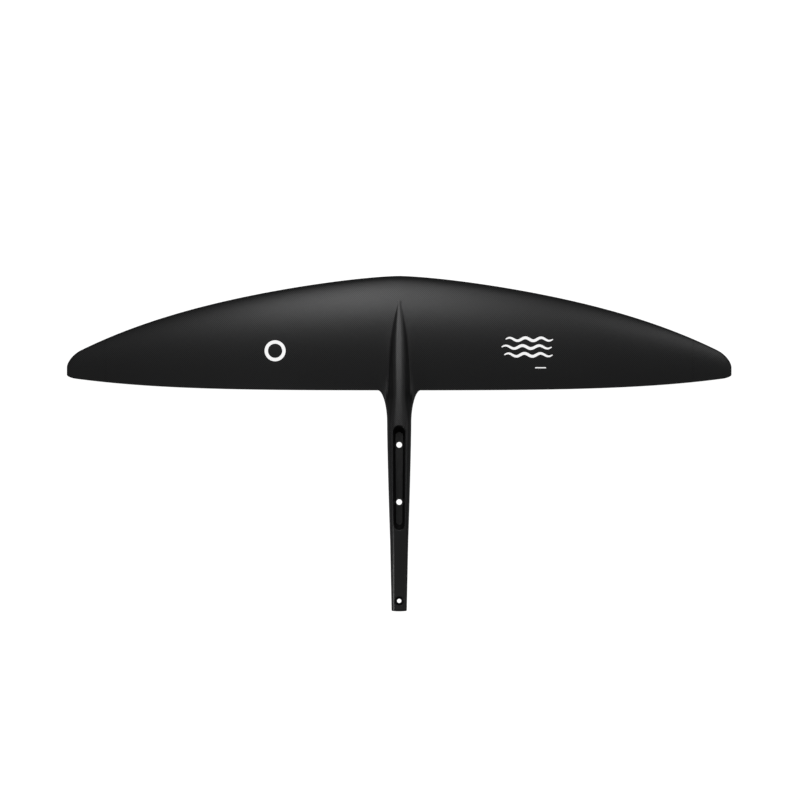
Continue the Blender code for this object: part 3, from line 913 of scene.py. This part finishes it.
def bush():
    """The countersunk bush in the tail, with a thin raised rim."""
    bottom, top = BUSH_BOX[0].z, BUSH_BOX[1].z
    head = top - 0.0048
    rim = BUSH_R - 0.0006
    profile = (
        (BUSH_R - 0.0002, top),
        (BUSH_R - 0.00005, top - 0.00006),
        (BUSH_R, top - 0.0002),
        (BUSH_R, head),
        (0.0046, head),
        (0.0046, bottom),
        (TAIL_HOLE_R, bottom),
        (TAIL_HOLE_R, head + 0.0007),
        (TAIL_HOLE_R + 0.00015, head + 0.0009),
        (rim - 0.00015, top - 0.0006),
        (rim, top - 0.0004),
        (rim, top - 0.0001),
        (rim + 0.0001, top),
    )
    return turned("tail_bush", profile, TAIL_SCREW_Y, ANODISED)


# ---- Printed marks ----


def on_wing(x, y, rise):
    """The point that far above the wing's upper side."""
    chord = leading_edge(x) - trailing_edge(x)
    return wing_point(x, (leading_edge(x) - y) / chord, 1, -rise)


def print_mark(name, grids, finish):
    """Ink on the wing's upper side. Each grid is rows of (x, y)."""
    patches = []
    rises = (INK_RISE, -INK_DEPTH)
    for grid in grids:
        patches.append([[[on_wing(x, y, rise) for x, y in row] for row in grid] for rise in rises])
    return slab(name, patches, finish)


def ribbon(path, widths):
    """Rows of points along a path, its two sides and between."""
    rows = []
    sides = (-1, -0.5, 0, 0.5, 1)
    for i, (x, y) in enumerate(path):
        before, after = path[max(i - 1, 0)], path[min(i + 1, len(path) - 1)]
        run = math.dist(before, after)
        nx, ny = -(after[1] - before[1]) / run, (after[0] - before[0]) / run
        width = widths[i]
        rows.append([(x + nx * width * s / 2, y + ny * width * s / 2) for s in sides])
    return rows


def wave(left, right, y):
    """A wavy line that is thickest in the middle."""
    count = 24 * WAVE_TURNS
    path, widths = [], []
    for i in range(count + 1):
        t = i / count
        height = WAVE_HEIGHT * math.sin(2 * math.pi * WAVE_TURNS * t)
        path.append((left + (right - left) * t, y + height))
        widths.append(WAVE_THICKNESS * (0.25 + 0.75 * math.sin(math.pi * t) ** 0.5))
    return ribbon(path, widths)


def ring(x, y, outer, inner):
    count = 64
    rows = []
    for i in range(count + 1):
        a = 2 * math.pi * (i % count) / count
        rows.append([(x + r * math.cos(a), y + r * math.sin(a)) for r in steps(inner, outer, 3)])
    return rows


def marks():
    """Plain marks: a ring on the left, three waves and a bar on the right."""
    print_mark("mark_ring", [ring(*RING_CENTRE, *RING_RADII)], WHITE_INK_WITH_PAINTED_GLOW)
    waves = []
    for i, shift in enumerate(WAVE_SHIFTS):
        waves.append(wave(WAVE_X[0] + shift, WAVE_X[1] + shift * 0.3, WAVE_TOP_Y - WAVE_PITCH * i))
    print_mark("mark_waves", waves, WHITE_INK_WITH_PAINTED_GLOW)
    print_mark("mark_bar", [[[(x, y) for y in BAR_Y] for x in steps(*BAR_X, 12)]], WHITE_INK_WITH_PAINTED_GLOW)


def pieces():
    """The visible pieces, and fine finishes on the inner nodes that stay."""
    upper = upper_skin()
    lower = lower_skin()
    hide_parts("upper_shell")
    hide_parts("lower_shell")
    for name, hand in (("left", -1), ("right", 1)):
        end = tip("wing_end_" + name, hand)
        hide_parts("tip_" + name)
    liner = socket_liner()
    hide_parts("mast_socket")
    for end, y in (("front", MAST_SCREW_Y), ("rear", -MAST_SCREW_Y)):
        made = cup("screw_cup_" + end, y)
        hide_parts("mast_cup_" + end)
    made = bush()
    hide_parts("stabiliser_bush")
    marks()

    for node in frame["nodes"].values():
        slot_name = node.data.materials[0].name.split(".")[0]
        if slot_name in HIDDEN:
            node.data.materials[0] = HIDDEN[slot_name]


# ---- Floor, light and camera ----


def lamp(name, place, target, size, power):
    light = bpy.data.lights.new(name, "AREA")
    light.shape = "RECTANGLE"
    light.size, light.size_y = size
    light.energy = power
    made = bpy.data.objects.new(name, light)
    bpy.context.scene.collection.objects.link(made)
    made.location = place
    made.rotation_euler = (Vector(target) - Vector(place)).to_track_quat("-Z", "Y").to_euler()
    made.visible_camera = False
    return made


def floor():
    """A floor that looks white, sends little light back up, and can be seen through from below."""
    bm = bmesh.new()
    corners = ((-1, -1), (1, -1), (1, 1), (-1, 1))
    bm.faces.new([bm.verts.new((x * FLOOR_HALF, y * FLOOR_HALF, CAD_LOW.z)) for x, y in corners])
    mesh = bpy.data.meshes.new("floor")
    bm.to_mesh(mesh)
    bm.free()
    made = bpy.data.objects.new("floor", mesh)
    bpy.context.scene.collection.objects.link(made)
    nodes = Nodes("floor_white")
    nodes.set(Roughness=0.9)
    nodes.put(nodes.shader.inputs["Emission Strength"], nodes.node("LightPath").outputs["Is Camera Ray"])
    nodes.shader.inputs["Base Color"].default_value = (0.2, 0.2, 0.2, 1)
    nodes.shader.inputs["Emission Color"].default_value = (1, 1, 1, 1)
    clear = nodes.node("BsdfTransparent")
    both = nodes.node("MixShader")
    nodes.put(both.inputs[0], nodes.node("NewGeometry").outputs["Backfacing"])
    nodes.put(both.inputs[1], nodes.shader.outputs[0])
    nodes.put(both.inputs[2], clear.outputs[0])
    nodes.put(nodes.tree.nodes["Material Output"].inputs[0], both.outputs[0])
    mesh.materials.append(nodes.material)


def world():
    """A white room that gives an even, dim light."""
    made = bpy.data.worlds.new("studio")
    bpy.context.scene.world = made
    made.use_nodes = True
    tree = made.node_tree
    background = tree.nodes["Background"]
    background.inputs["Color"].default_value = (ROOM_GREY, ROOM_GREY, ROOM_GREY, 1)
    seen = tree.nodes.new("ShaderNodeBackground")
    seen.inputs["Color"].default_value = (1, 1, 1, 1)
    path = tree.nodes.new("ShaderNodeLightPath")
    both = tree.nodes.new("ShaderNodeMixShader")
    tree.links.new(path.outputs["Is Camera Ray"], both.inputs[0])
    tree.links.new(background.outputs[0], both.inputs[1])
    tree.links.new(seen.outputs[0], both.inputs[2])
    tree.links.new(both.outputs[0], tree.nodes["World Output"].inputs[0])


def camera():
    """A long lens straight above."""
    data = bpy.data.cameras.new("camera")
    data.lens = LENS
    data.sensor_width = SENSOR
    made = bpy.data.objects.new("camera", data)
    bpy.context.scene.collection.objects.link(made)
    made.location = (*VIEW_CENTRE, WING_Z + VIEW_WIDTH * LENS / SENSOR)
    data.clip_start = 0.1
    data.clip_end = 100
    bpy.context.scene.camera = made


pieces()
floor()
world()
camera()
lamp("key_near", (-0.20, 0.55, 1.55), (-0.05, 0.26, 0), (0.40, 0.55), 2.56)
lamp("key_middle", (-0.20, 0.95, 1.45), (-0.05, 0.26, 0), (0.40, 0.55), 2.93)
lamp("key_far", (-0.20, 1.40, 1.20), (-0.05, 0.26, 0), (0.40, 0.50), 0.95)
lamp("key_right", (0.15, 0.86, 1.48), (0.05, 0.26, 0), (0.30, 1.20), 2.40)
lamp("front_right", (1.15, 0.86, 1.40), (0.40, 0.22, 0), (0.50, 1.20), 3.10)
lamp("front_left", (-1.15, 0.86, 1.40), (-0.40, 0.22, 0), (0.50, 1.20), 0.20)
lamp("rear_left", (-2.2, -0.6, 0.8), (0, -0.10, 0), (0.6, 0.8), 2.10)
lamp("right", (2.2, -0.2, 0.9), (0, 0, 0), (0.5, 1.2), 1.45)
lamp("tail_left", (-0.32, -0.30, 0.20), (0, -0.17, 0.02), (0.15, 0.15), 0.52)
bpy.context.scene.view_settings.view_transform = "Standard"
